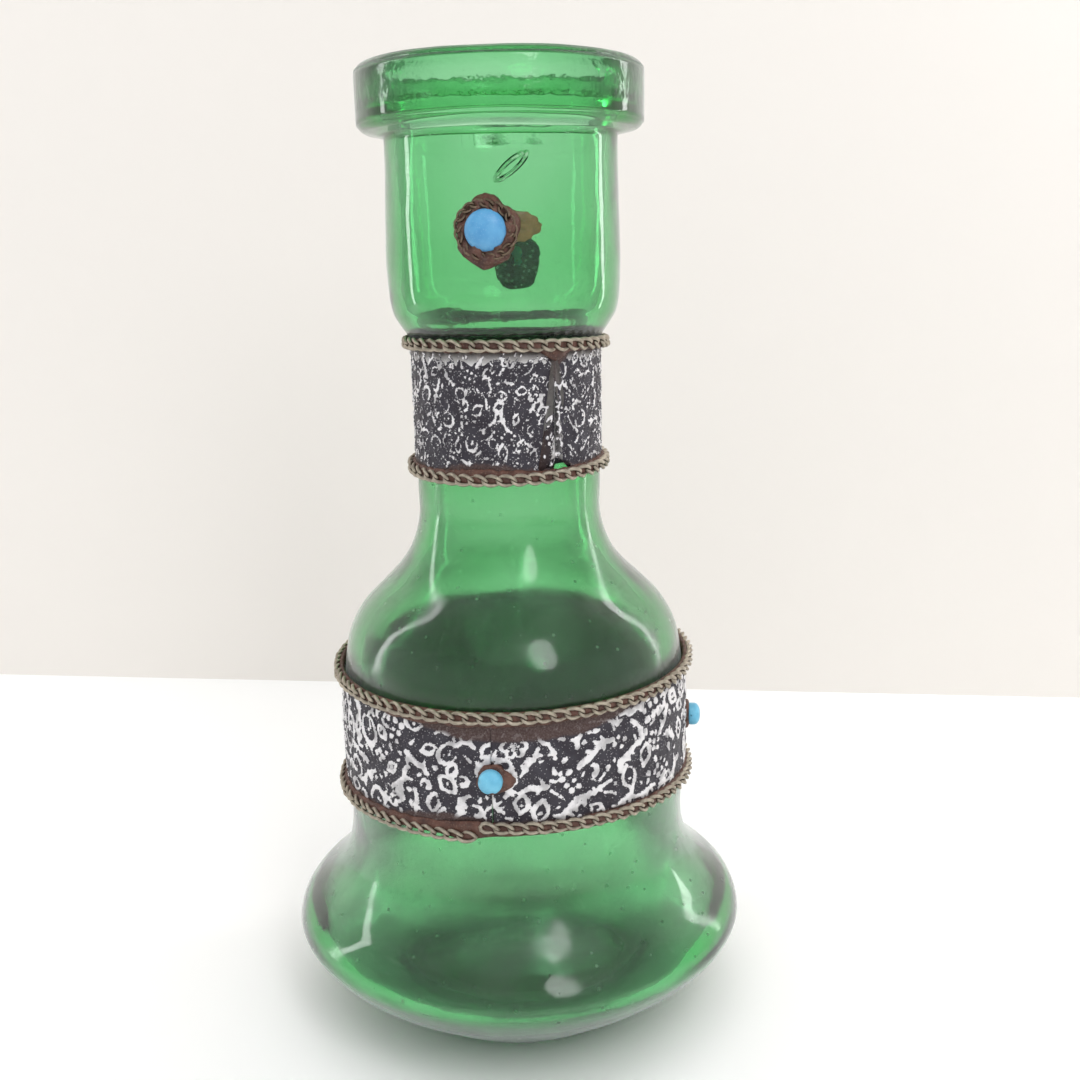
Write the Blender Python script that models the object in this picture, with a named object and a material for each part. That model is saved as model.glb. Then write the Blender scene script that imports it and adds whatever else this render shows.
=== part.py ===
"""A green glass candlestick, blown as one vessel and dressed with metal.

The glass has a hollow bun-shaped base, a bell over it, a narrow neck and a straight cup with a heavy
collar. Two strips of embossed sheet metal wrap the neck and the bell. A flat chain edges each strip
above and below, held by a bead of brown resin. Cabochon stones sit on beds of the same resin: two large
ones on the cup, each ringed by a chain, and three small ones on the bell strip.

Units are metres, +Z is up, the foot rests on Z = 0, and the front of the candlestick faces -Y.
"""

import math

import bmesh
import bpy
from mathutils import Vector

# Driving dimensions of the glass
HEIGHT = 0.215
FOOT_RADIUS = 0.0295
FOOT_INNER_RADIUS = 0.0264
COLLAR_RADIUS = 0.0309
COLLAR_UNDERSIDE = 0.2013
COLLAR_LOWER_ROUND = 0.0026
COLLAR_UPPER_ROUND = 0.0022
MOUTH_RADIUS = 0.0248
MOUTH_LIP_ROUND = 0.0008
CUP_BORE_RADIUS = 0.0224
NECK_RADIUS = 0.0207
NECK_BORE_RADIUS = 0.0172

# Heights of the ornament
NECK_CHAIN_UPPER_HEIGHT = 0.1568
NECK_CHAIN_LOWER_HEIGHT = 0.1299
BELL_CHAIN_UPPER_HEIGHT = 0.0838
BELL_CHAIN_LOWER_HEIGHT = 0.0563
CUP_STONE_FRONT_HEIGHT = 0.1804
CUP_STONE_BACK_HEIGHT = 0.1735
BAND_STONE_HEIGHT = 0.0693

# Sections of the trim
SHEET_THICKNESS = 0.0004
CHAIN_WIDTH = 0.0030
CHAIN_THICKNESS = 0.0016
BEAD_WIDTH = 0.0014
BEAD_THICKNESS = 0.0007
BEZEL_RADIUS = 0.0054
BEZEL_WIDTH = 0.0013
RESIN_THICKNESS = 0.0008
CUP_STONE_RADIUS = 0.00425
CUP_STONE_RISE = 0.0026
BAND_STONE_RADIUS = 0.0026
BAND_STONE_RISE = 0.0018

# Gap left between pieces that touch
GAP = 0.0003

# Azimuths of the seams of the two strips, and the angle left open between a strip's ends
NECK_SEAM = math.radians(-56)
BELL_SEAM = math.radians(-90)
SEAM_OPENING = math.radians(0.8)

# Facets round the glass and everything wrapped on it
FACETS = 40
CHAIN_FACETS = 60
STONE_FACETS = 20
STRIP_ROWS = 5

FRONT = math.radians(-90)
RIGHT = math.radians(0)
BACK = math.radians(90)

# Radius and height of the points that the outside of the wall passes through, foot to collar
OUTER_WALL = (
    (0.0309, 0.0011),
    (0.0390, 0.0071),
    (0.0466, 0.0129),
    (0.0509, 0.0174),
    (0.0531, 0.0215),
    (0.0516, 0.0259),
    (0.0471, 0.0302),
    (0.0430, 0.0345),
    (0.0406, 0.0390),
    (0.0395, 0.0450),
    (0.0397, 0.0560),
    (0.0401, 0.0700),
    (0.0394, 0.0825),
    (0.0381, 0.0910),
    (0.0350, 0.0969),
    (0.0307, 0.1014),
    (0.0264, 0.1056),
    (0.0230, 0.1104),
    (NECK_RADIUS, 0.1180),
    (NECK_RADIUS, 0.1240),
    (NECK_RADIUS, 0.1500),
    (0.0208, 0.1548),
    (0.0212, 0.1575),
    (0.0228, 0.1600),
    (0.0247, 0.1632),
    (0.0255, 0.1680),
    (0.0256, 0.1800),
    (0.0252, 0.1940),
    (0.0252, 0.2005),
)

# The same for the inside of the wall, mouth to the middle of the floor
INNER_WALL = (
    (MOUTH_RADIUS, HEIGHT - MOUTH_LIP_ROUND),
    (0.0259, 0.2115),
    (0.0262, 0.2088),
    (0.0255, 0.2062),
    (0.0240, 0.2037),
    (0.0227, 0.2012),
    (CUP_BORE_RADIUS, 0.1970),
    (0.0222, 0.1690),
    (0.0209, 0.1637),
    (0.0186, 0.1602),
    (NECK_BORE_RADIUS, 0.1555),
    (NECK_BORE_RADIUS, 0.1185),
    (0.0196, 0.1095),
    (0.0236, 0.1035),
    (0.0283, 0.0985),
    (0.0330, 0.0930),
    (0.0352, 0.0870),
    (0.0366, 0.0700),
    (0.0358, 0.0450),
    (0.0376, 0.0368),
    (0.0432, 0.0305),
    (0.0484, 0.0248),
    (0.0490, 0.0205),
    (0.0458, 0.0165),
    (0.0390, 0.0112),
    (0.0310, 0.0066),
    (0.0200, 0.0072),
    (0.0000, 0.0106),
)

# The same for the hollow kicked up under the foot, centre to foot ring
KICK_UP = (
    (0.0000, 0.0062),
    (0.0160, 0.0040),
    (0.0245, 0.0010),
    (FOOT_INNER_RADIUS, 0.0000),
)


def clear_scene():
    for thing in list(bpy.data.objects):
        bpy.data.objects.remove(thing, do_unlink=True)


def make_material(name, colour, roughness, metallic=0.0, transmission=0.0):
    material = bpy.data.materials.new(name)
    material.use_nodes = True
    shader = material.node_tree.nodes["Principled BSDF"]
    shader.inputs["Base Color"].default_value = (*colour, 1.0)
    shader.inputs["Roughness"].default_value = roughness
    shader.inputs["Metallic"].default_value = metallic
    shader.inputs["Transmission Weight"].default_value = transmission
    return material


def make_object(name, form, material, crease_angle=40):
    """Turns a bmesh into a named object, closed, facing out and shaded smooth except at its creases."""
    bmesh.ops.remove_doubles(form, verts=form.verts, dist=1e-7)
    bmesh.ops.recalc_face_normals(form, faces=form.faces)
    mesh = bpy.data.meshes.new(name)
    form.to_mesh(mesh)
    form.free()
    mesh.shade_smooth()
    mesh.set_sharp_from_angle(angle=math.radians(crease_angle))
    mesh.materials.append(material)
    piece = bpy.data.objects.new(name, mesh)
    bpy.context.scene.collection.objects.link(piece)
    return piece


def curve_through(points, steps=2):
    """Points along the smooth curve that passes through the given radius and height pairs."""
    ends = [points[0], *points, points[-1]]
    path = []
    for before, start, end, after in zip(ends, ends[1:], ends[2:], ends[3:]):
        before, start, end, after = Vector(before), Vector(start), Vector(end), Vector(after)
        span = (end - start).length
        leave = slope_between(before, start, end) * span
        arrive = slope_between(start, end, after) * span
        for step in range(steps):
            t = step / steps
            path.append(
                start * (2 * t**3 - 3 * t**2 + 1)
                + leave * (t**3 - 2 * t**2 + t)
                + end * (3 * t**2 - 2 * t**3)
                + arrive * (t**3 - t**2)
            )
    path.append(Vector(points[-1]))
    return path


def slope_between(before, middle, after):
    """The curve's direction at a point, leaning to the side whose neighbour is nearer."""
    first, second = middle - before, after - middle
    if first.length == 0 or second.length == 0:
        return (first + second).normalized()
    lean = first.normalized() * second.length + second.normalized() * first.length
    return lean.normalized()


def arc(centre, radius, start, end, steps=4):
    """Points round a quarter or any other arc, angles in degrees from +radius towards +height."""
    turns = [math.radians(start + (end - start) * step / steps) for step in range(steps + 1)]
    return [Vector((centre[0] + radius * math.cos(a), centre[1] + radius * math.sin(a))) for a in turns]


def turn_profile(outline, facets, closed=True):
    """Spins an outline of radius and height pairs once round the Z axis."""
    form = bmesh.new()
    points = [form.verts.new((r, 0.0, z)) for r, z in outline]
    edges = [form.edges.new(pair) for pair in zip(points, points[1:])]
    if closed:
        edges.append(form.edges.new((points[-1], points[0])))
    bmesh.ops.spin(
        form,
        geom=points + edges,
        cent=(0, 0, 0),
        axis=(0, 0, 1),
        angle=math.tau,
        steps=facets,
        use_merge=True,
    )
    return form


def collar_outline():
    """Up from the step under the collar, round its two edges and in to the mouth."""
    lower = (COLLAR_RADIUS - COLLAR_LOWER_ROUND, COLLAR_UNDERSIDE + COLLAR_LOWER_ROUND)
    upper = (COLLAR_RADIUS - COLLAR_UPPER_ROUND, HEIGHT - COLLAR_UPPER_ROUND)
    lip = (MOUTH_RADIUS + MOUTH_LIP_ROUND, HEIGHT - MOUTH_LIP_ROUND)
    return [
        *arc(lower, COLLAR_LOWER_ROUND, -90, 0),
        *arc(upper, COLLAR_UPPER_ROUND, 0, 90, steps=5),
        *arc(lip, MOUTH_LIP_ROUND, 90, 180, steps=2),
    ]


def make_glass(material):
    outline = [
        *curve_through(OUTER_WALL),
        *collar_outline(),
        *curve_through(INNER_WALL, steps=1)[1:],
        *curve_through(KICK_UP, steps=2),
        Vector((FOOT_RADIUS, 0.0)),
    ]
    form = turn_profile(outline, FACETS, closed=False)
    foot = [edge for edge in form.edges if edge.is_boundary]
    bmesh.ops.bridge_loops(form, edges=[edge for edge in foot if edge.verts[0].co.xy.length > NECK_RADIUS])
    return make_object("glass_body", form, material)


def wall_radius(height):
    """Radius of the outside of the glass at a height between the foot and the collar."""
    wall = curve_through(OUTER_WALL)
    for low, high in zip(wall, wall[1:]):
        if low.y <= height <= high.y:
            return low.x + (high.x - low.x) * (height - low.y) / (high.y - low.y)
    raise ValueError("no wall at that height")


class Chain:
    """Where one chain lies: its mean height, its lean in the hand-laid ring, and the radius of its middle."""

    def __init__(self, name, height, lean_right, lean_back, radius):
        self.name = name
        self.height = height
        self.lean_right = lean_right
        self.lean_back = lean_back
        self.radius = radius

    def height_at(self, azimuth):
        return self.height + self.lean_right * math.cos(azimuth) + self.lean_back * math.sin(azimuth)


def lay_tilted(piece, chain):
    """Lifts a flat ring to its chain's height and tips it to the chain's lean."""
    across = math.atan2(chain.lean_back, chain.radius)
    along = -math.atan2(chain.lean_right, chain.radius)
    piece.location = (0, 0, chain.height)
    piece.rotation_euler = (across, along, 0)
    return piece


def make_chain(chain, material):
    half_width, half_thickness = CHAIN_WIDTH / 2, CHAIN_THICKNESS / 2
    section = [
        (chain.radius + half_thickness, -half_width / 2),
        (chain.radius + half_thickness, half_width / 2),
        (chain.radius, half_width),
        (chain.radius - half_thickness, half_width / 2),
        (chain.radius - half_thickness, -half_width / 2),
        (chain.radius, -half_width),
    ]
    form = turn_profile(section, CHAIN_FACETS)
    return lay_tilted(make_object(chain.name, form, material), chain)


def make_bead(name, chain, side, material):
    """A bead of resin on the strip along a chain's edge. side is 1 above the chain and -1 below it."""
    middle = side * (CHAIN_WIDTH / 2 + GAP + BEAD_WIDTH / 2)
    inner = widest_wall(chain, middle) + GAP + SHEET_THICKNESS + GAP
    outer = inner + BEAD_THICKNESS
    section = [
        (inner, middle - BEAD_WIDTH / 2),
        (outer, middle - BEAD_WIDTH / 4),
        (outer, middle + BEAD_WIDTH / 4),
        (inner, middle + BEAD_WIDTH / 2),
    ]
    form = turn_profile(section, FACETS)
    return lay_tilted(make_object(name, form, material), chain)


def widest_wall(chain, offset):
    """The largest radius of the glass under a bead that runs at an offset from a chain's middle."""
    bearings = [math.tau * step / FACETS for step in range(FACETS)]
    edges = (offset - BEAD_WIDTH / 2, offset + BEAD_WIDTH / 2)
    return max(wall_radius(chain.height_at(bearing) + edge) for bearing in bearings for edge in edges)


def make_strip(name, lower, upper, seam, material):
    """A sheet metal strip wrapped once on the glass between two chains. Its ends meet at the azimuth seam."""
    clearance = CHAIN_WIDTH / 2 + GAP
    form = bmesh.new()
    grid = []
    for column in range(FACETS + 1):
        azimuth = seam + SEAM_OPENING / 2 + (math.tau - SEAM_OPENING) * column / FACETS
        low = lower.height_at(azimuth) + clearance
        high = upper.height_at(azimuth) - clearance
        line = []
        for row in range(STRIP_ROWS + 1):
            height = low + (high - low) * row / STRIP_ROWS
            radius = wall_radius(height) + GAP
            place = (radius * math.cos(azimuth), radius * math.sin(azimuth), height)
            line.append(form.verts.new(place))
        grid.append(line)
    for left, right in zip(grid, grid[1:]):
        for row in range(STRIP_ROWS):
            form.faces.new((left[row], right[row], right[row + 1], left[row + 1]))
    strip = make_object(name, form, material)
    thicken = strip.modifiers.new("sheet", "SOLIDIFY")
    thicken.thickness = SHEET_THICKNESS
    thicken.offset = 1
    return strip


def stand_out(piece, azimuth, radius, height):
    """Places a piece modelled on +Z so that it stands out from the glass."""
    piece.location = (radius * math.cos(azimuth), radius * math.sin(azimuth), height)
    piece.rotation_euler = (0, math.radians(90), azimuth)
    return piece


def make_stone(name, radius, rise, seat, azimuth, height, material):
    """A cabochon with a flat back, a short upright girdle and a domed face."""
    girdle = rise * 0.25
    dome = [
        (radius * math.cos(turn), girdle + (rise - girdle) * math.sin(turn))
        for turn in (math.radians(90 * step / 5) for step in range(5))
    ]
    outline = [(0.0, 0.0), (radius * 0.96, 0.0), *dome, (0.0, rise)]
    form = turn_profile(outline, STONE_FACETS, closed=False)
    return stand_out(make_object(name, form, material), azimuth, seat, height)


def make_bezel(name, seat, azimuth, height, material):
    """The short chain bent into a ring round a cup stone."""
    form = bmesh.new()
    ring = BEZEL_WIDTH / 2
    section = [form.verts.new((BEZEL_RADIUS + ring * math.cos(a), 0, ring * math.sin(a))) for a in hexagon()]
    edges = [form.edges.new(pair) for pair in zip(section, section[1:] + section[:1])]
    bmesh.ops.spin(
        form,
        geom=section + edges,
        cent=(0, 0, 0),
        axis=(0, 0, 1),
        angle=math.tau,
        steps=STONE_FACETS,
        use_merge=True,
    )
    return stand_out(make_object(name, form, material), azimuth, seat + ring, height)


def hexagon():
    return [math.tau * corner / 6 for corner in range(6)]


def make_resin_bed(name, drum, half_width, half_height, point, azimuth, height, material):
    """A lens of resin moulded to the curve of the glass, drawn out to a point on one side.

    drum is the radius that its back follows, and point is how far the tip runs past half_width.
    """
    layers = ((0.0, 0.0), (0.80, 0.0), (1.0, 0.35), (0.84, 1.0), (0.0, 1.0))
    form = bmesh.new()
    rings = []
    for spread, rise in layers:
        ring = []
        for corner in range(STONE_FACETS):
            turn = math.tau * corner / STONE_FACETS
            reach = half_width + point * max(0.0, math.cos(turn)) ** 6
            across = spread * reach * math.cos(turn)
            up = spread * half_height * math.sin(turn)
            bearing = azimuth + across / drum
            radius = drum + rise * RESIN_THICKNESS
            place = (radius * math.cos(bearing), radius * math.sin(bearing), height + up)
            ring.append(form.verts.new(place))
            if spread == 0.0:
                break
        rings.append(ring)
    join_rings(form, rings)
    return make_object(name, form, material, crease_angle=60)


def join_rings(form, rings):
    """Covers the space between each ring and the next with faces. A ring of one vertex is a centre."""
    for first, second in zip(rings, rings[1:]):
        count = max(len(first), len(second))
        for corner in range(count):
            after = (corner + 1) % count
            if len(first) == 1:
                form.faces.new((first[0], second[corner], second[after]))
            elif len(second) == 1:
                form.faces.new((first[after], first[corner], second[0]))
            else:
                form.faces.new((first[corner], second[corner], second[after], first[after]))


def make_cup_stone(side, azimuth, height, resin, stone, brass):
    drum = wall_radius(height) + GAP
    seat = drum + RESIN_THICKNESS + GAP
    make_resin_bed(f"cup_resin_{side}", drum, 0.0066, 0.0076, 0.0018, azimuth, height, resin)
    make_stone(f"cup_stone_{side}", CUP_STONE_RADIUS, CUP_STONE_RISE, seat, azimuth, height, stone)
    make_bezel(f"cup_bezel_chain_{side}", seat, azimuth, height, brass)


def make_band_stone(side, azimuth, resin, stone):
    drum = wall_radius(BAND_STONE_HEIGHT) + GAP + SHEET_THICKNESS + GAP
    seat = drum + RESIN_THICKNESS + GAP
    make_resin_bed(f"band_resin_{side}", drum, 0.0036, 0.0034, 0.0009, azimuth, BAND_STONE_HEIGHT, resin)
    make_stone(
        f"band_stone_{side}", BAND_STONE_RADIUS, BAND_STONE_RISE, seat, azimuth, BAND_STONE_HEIGHT, stone
    )


def main():
    clear_scene()
    glass = make_material("green_glass", (0.20, 0.55, 0.30), 0.05, transmission=1.0)
    sheet = make_material("embossed_sheet", (0.55, 0.54, 0.56), 0.40, metallic=1.0)
    brass = make_material("aged_chain", (0.42, 0.37, 0.30), 0.45, metallic=1.0)
    resin = make_material("brown_resin", (0.13, 0.07, 0.03), 0.35)
    stone = make_material("blue_stone", (0.12, 0.36, 0.62), 0.30)

    neck_upper = Chain("neck_chain_upper", NECK_CHAIN_UPPER_HEIGHT, -0.0002, -0.0004, 0.02240)
    neck_lower = Chain("neck_chain_lower", NECK_CHAIN_LOWER_HEIGHT, 0.0002, 0.0010, 0.02220)
    bell_upper = Chain("bell_chain_upper", BELL_CHAIN_UPPER_HEIGHT, 0.0004, 0.0011, 0.04125)
    bell_lower = Chain("bell_chain_lower", BELL_CHAIN_LOWER_HEIGHT, 0.0008, -0.0012, 0.04130)

    make_glass(glass)
    make_strip("neck_band", neck_lower, neck_upper, NECK_SEAM, sheet)
    make_strip("bell_band", bell_lower, bell_upper, BELL_SEAM, sheet)
    for chain in (neck_upper, neck_lower, bell_upper, bell_lower):
        make_chain(chain, brass)
    make_bead("neck_resin_upper", neck_upper, -1, resin)
    make_bead("neck_resin_lower", neck_lower, 1, resin)
    make_bead("bell_resin_upper", bell_upper, -1, resin)
    make_bead("bell_resin_lower", bell_lower, 1, resin)
    make_cup_stone("front", FRONT, CUP_STONE_FRONT_HEIGHT, resin, stone, brass)
    make_cup_stone("back", BACK, CUP_STONE_BACK_HEIGHT, resin, stone, brass)
    for side, azimuth in (("front", FRONT), ("right", RIGHT), ("back", BACK)):
        make_band_stone(side, azimuth, resin, stone)


main()
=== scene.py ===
# %% [markdown]
# # A green glass candlestick, dressed with metal, chain and stones
#
# The real thing is one hollow blown vessel. Two strips of embossed sheet metal are wrapped on it, their
# edges are hidden by flat chain laid in brown resin, and a few sky blue cabochons are glued on.
#
# The frame is the measured model: its nodes give every size and place. They could be shown as they are,
# but they are plain solids, so each one is replaced here by a piece with its real surface.

# %% Load the frame
import math

import bpy
import numpy as np
from mathutils import Matrix, Vector, noise


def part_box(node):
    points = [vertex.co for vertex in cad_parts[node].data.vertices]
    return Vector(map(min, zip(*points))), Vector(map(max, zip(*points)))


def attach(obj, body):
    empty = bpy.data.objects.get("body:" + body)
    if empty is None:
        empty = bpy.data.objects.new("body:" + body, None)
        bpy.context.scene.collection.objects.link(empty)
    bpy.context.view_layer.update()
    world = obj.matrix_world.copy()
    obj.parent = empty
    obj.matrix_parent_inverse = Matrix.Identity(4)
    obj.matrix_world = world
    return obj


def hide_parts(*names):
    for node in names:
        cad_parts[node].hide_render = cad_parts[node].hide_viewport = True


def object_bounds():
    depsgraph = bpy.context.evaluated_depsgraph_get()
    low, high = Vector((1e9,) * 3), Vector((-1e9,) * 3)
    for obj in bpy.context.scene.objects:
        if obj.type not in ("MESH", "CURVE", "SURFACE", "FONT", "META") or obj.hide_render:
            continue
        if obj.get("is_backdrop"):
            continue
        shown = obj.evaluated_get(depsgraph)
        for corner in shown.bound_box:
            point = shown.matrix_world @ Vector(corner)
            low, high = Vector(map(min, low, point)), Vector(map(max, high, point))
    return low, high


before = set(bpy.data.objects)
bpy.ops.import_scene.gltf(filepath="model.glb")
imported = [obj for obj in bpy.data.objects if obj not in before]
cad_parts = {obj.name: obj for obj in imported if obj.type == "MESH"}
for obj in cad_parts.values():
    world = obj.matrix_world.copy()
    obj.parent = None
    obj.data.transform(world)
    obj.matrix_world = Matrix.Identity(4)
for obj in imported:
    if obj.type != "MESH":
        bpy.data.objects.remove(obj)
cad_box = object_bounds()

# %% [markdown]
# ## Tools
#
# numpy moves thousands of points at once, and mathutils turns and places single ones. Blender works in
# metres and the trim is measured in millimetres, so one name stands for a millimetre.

MM = 0.001
print("frame box in mm:", [[round(side / MM, 1) for side in corner] for corner in cad_box])

# %% [markdown]
# ## Camera
#
# The candlestick is seen from close by and a little above its middle, as by a person who holds the camera
# at the height of the cup. A wide lens from near shows the top of the rim and the top of the base at once.
# A long lens from far away would flatten both, so the distance is part of the look.

# %% Camera
CAMERA_DISTANCE = 0.285
CAMERA_HEIGHT = 0.1754
CAMERA_BEARING = math.radians(7.5)
CAMERA_PITCH = math.radians(-12.75)
CAMERA_PAN = math.radians(-1.36)
CAMERA_ROLL = math.radians(-1.15)

camera_data = bpy.data.cameras.new("camera")
camera_data.sensor_width = 36
camera_data.lens = 42
camera = bpy.data.objects.new("camera", camera_data)
bpy.context.scene.collection.objects.link(camera)
bpy.context.scene.camera = camera
camera.location = (
    CAMERA_DISTANCE * math.sin(CAMERA_BEARING),
    -CAMERA_DISTANCE * math.cos(CAMERA_BEARING),
    CAMERA_HEIGHT,
)
aim = (
    Matrix.Rotation(CAMERA_BEARING + CAMERA_PAN, 3, "Z")
    @ Matrix.Rotation(math.radians(90) + CAMERA_PITCH, 3, "X")
    @ Matrix.Rotation(CAMERA_ROLL, 3, "Z")
)
camera.rotation_euler = aim.to_euler()
print("camera at", [round(side, 3) for side in camera.location])

# %% [markdown]
# ## Small helpers
#
# Blender's operators act on whatever is selected, so every step starts by selecting nothing. A finished
# piece has its place in its mesh and its object at the origin, as the frame's own nodes do.

# %% Helpers for pieces
def deselect():
    if bpy.context.mode != "OBJECT":
        bpy.ops.object.mode_set(mode="OBJECT")
    bpy.ops.object.select_all(action="DESELECT")


def pick(piece):
    deselect()
    piece.select_set(True)
    bpy.context.view_layer.objects.active = piece


def apply_modifier(piece, kind, **settings):
    """Adds a modifier with these settings and applies it at once."""
    pick(piece)
    modifier = piece.modifiers.new(kind.lower(), kind)
    for name, value in settings.items():
        setattr(modifier, name, value)
    bpy.ops.object.modifier_apply(modifier=modifier.name)


def soften(piece, levels=1):
    apply_modifier(piece, "SUBSURF", levels=levels, render_levels=levels)


def finish_piece(piece, name, material, replaced, crease=math.radians(180)):
    """Names a piece, gives it its finish, and hands it to the frame in place of the nodes it stands for."""
    pick(piece)
    bpy.ops.object.transform_apply(location=True, rotation=True, scale=True)
    bpy.ops.object.shade_smooth_by_angle(angle=crease)
    piece.name = name
    piece.data.name = name
    piece.data.materials.clear()
    piece.data.materials.append(material)
    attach(piece, "root")
    if replaced:
        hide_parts(*replaced)
    print(f"{name}: {len(piece.data.polygons)} faces")
    return piece


def points_of(piece):
    """The piece's vertices as rows of x, y, z."""
    places = np.empty(len(piece.data.vertices) * 3)
    piece.data.vertices.foreach_get("co", places)
    return places.reshape(-1, 3)


def move_points(piece, places):
    piece.data.vertices.foreach_set("co", np.asarray(places, np.float32).ravel())
    piece.data.update()

# %% [markdown]
# A finish is a small network of nodes. Typing one out socket by socket is slow to write and slower to read,
# so a few functions add a node with its values, and add, scale or remap a mask in one call.

# %% Helpers for materials
def new_material(name):
    """An empty material with its output, and the node tree to fill."""
    material = bpy.data.materials.new(name)
    material.use_nodes = True
    material.node_tree.nodes.clear()
    print("finish:", name)
    return material, material.node_tree


def add_node(tree, kind, settings=None, **inputs):
    """Adds a node. settings are its own properties, and inputs are values or sockets for its inputs."""
    made = tree.nodes.new("ShaderNode" + kind)
    for name, value in (settings or {}).items():
        setattr(made, name, value)
    for name, value in inputs.items():
        feed(tree, made, name.replace("_", " "), value)
    return made


def feed(tree, made, name, value):
    """Sets one input of a node, by its name or its number, to a value or links it to a socket."""
    socket = made.inputs[int(name)] if name.isdigit() else made.inputs[name]
    if isinstance(value, bpy.types.NodeSocket):
        tree.links.new(value, socket)
    else:
        socket.default_value = value


def math_node(tree, operation, first, second=0.0):
    made = add_node(tree, "Math", {"operation": operation})
    feed(tree, made, "0", first)
    feed(tree, made, "1", second)
    return made.outputs[0]


def plus(tree, first, second):
    return math_node(tree, "ADD", first, second)


def times(tree, first, second):
    return math_node(tree, "MULTIPLY", first, second)


def map_range(tree, value, low, high, start=0.0, end=1.0):
    """Takes a value from the span low to high over to start to end, with soft ends."""
    made = add_node(tree, "MapRange", {"interpolation_type": "SMOOTHSTEP"})
    for name, setting in (("Value", value), ("From Min", low), ("From Max", high)):
        feed(tree, made, name, setting)
    made.inputs["To Min"].default_value = start
    made.inputs["To Max"].default_value = end
    return made.outputs["Result"]


def blend_colours(tree, mask, first, second):
    made = add_node(tree, "Mix", {"data_type": "RGBA"})
    feed(tree, made, "0", mask)
    feed(tree, made, "6", first)
    feed(tree, made, "7", second)
    return made.outputs[2]


def paint(red, green, blue):
    """A colour as a node input takes it."""
    return (red, green, blue, 1.0)


def noise_on(tree, scale, detail):
    """Noise from 0 to 1 that stays put on the piece. scale is in clouds per metre."""
    place = add_node(tree, "TexCoord").outputs["Object"]
    return add_node(tree, "TexNoise", Vector=place, Scale=scale, Detail=detail).outputs["Fac"]


def solid_surface(material, colour, roughness, relief, strength, depth, metallic=0.0):
    """Ends a finish that no light passes through. depth is that of the relief, in metres."""
    tree = material.node_tree
    bump = add_node(tree, "Bump", Strength=strength, Distance=depth, Height=relief)
    inputs = {"Base_Color": colour, "Roughness": roughness, "Metallic": metallic}
    surface = add_node(tree, "BsdfPrincipled", Normal=bump.outputs["Normal"], **inputs)
    add_node(tree, "OutputMaterial", Surface=surface.outputs["BSDF"])
    return material

# %% [markdown]
# ## Where things are
#
# The glass outline is read from the frame's turned solid: the vertices on the +X side of the XZ plane, in
# order. Each chain is a ring that leans a little, so its height is fitted as a plane.

# %% Read the frame
def half_section(node):
    """The outline of a turned node as (radius, height) pairs, in order from one end on the axis."""
    places = points_of(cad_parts[node])
    neighbours = {}
    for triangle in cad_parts[node].data.polygons:
        corners = [tuple(np.round(places[corner], 7)) for corner in triangle.vertices]
        on_plane = [corner for corner in corners if abs(corner[1]) < 1e-6 and corner[0] > -1e-6]
        if len(on_plane) == 2:
            first, second = [(corner[0], corner[2]) for corner in on_plane]
            neighbours.setdefault(first, set()).add(second)
            neighbours.setdefault(second, set()).add(first)
    ends = sorted(point for point in neighbours if len(neighbours[point]) == 1)
    path, before = [ends[0]], None
    while True:
        onward = [point for point in neighbours[path[-1]] if point != before]
        if not onward:
            return path
        before = path[-1]
        path.append(onward[0])


glass_outline = half_section("glass_body")
if glass_outline[0][1] > glass_outline[-1][1]:
    glass_outline.reverse()
print(f"glass outline: {len(glass_outline)} points, from {glass_outline[0]} to {glass_outline[-1]}")


class Ring:
    """A ring laid on the glass: its middle radius, its mean height and how far it leans to +X and +Y."""

    def __init__(self, node):
        places = points_of(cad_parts[node])
        reach = np.hypot(places[:, 0], places[:, 1])
        self.radius = (reach.min() + reach.max()) / 2
        bearings = np.column_stack([np.ones(len(places)), places[:, 0] / reach, places[:, 1] / reach])
        self.height, self.lean_x, self.lean_y = np.linalg.lstsq(bearings, places[:, 2], rcond=None)[0]

    def height_at(self, bearing):
        return self.height + self.lean_x * np.cos(bearing) + self.lean_y * np.sin(bearing)


chain_rings = {
    name: Ring(name)
    for name in ("neck_chain_upper", "neck_chain_lower", "bell_chain_upper", "bell_chain_lower")
}
for name, ring in chain_rings.items():
    print(f"{name}: radius {ring.radius / MM:.1f} mm at height {ring.height / MM:.1f} mm")

outer_side = glass_outline[: next(i for i, point in enumerate(glass_outline) if point[1] > 0.2)]
foot_corner = next(i for i, point in enumerate(outer_side) if point[0] > 0.0300)
wall_heights = np.array([point[1] for point in outer_side[foot_corner:]])
wall_radii = np.array([point[0] for point in outer_side[foot_corner:]])


def wall_at(height):
    """Radius of the outside of the glass at a height, or at many."""
    return np.interp(height, wall_heights, wall_radii)

# %% [markdown]
# ## The table and the wall
#
# A plain pale table and a plain pale wall behind it. One sheet bent up behind the object would hide where
# they meet, but here the line between them is part of the look. The wall is see-through from behind, so that
# it doesn't hide the candlestick from other sides.

# %% Table and wall
WALL_DISTANCE = 0.214
WALL_TURN = math.radians(-1.0)
WALL_SIZE = (4, 2.2)
TABLE_SIZE = (4, 4)
TABLE_HEIGHT = -0.0002


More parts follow.
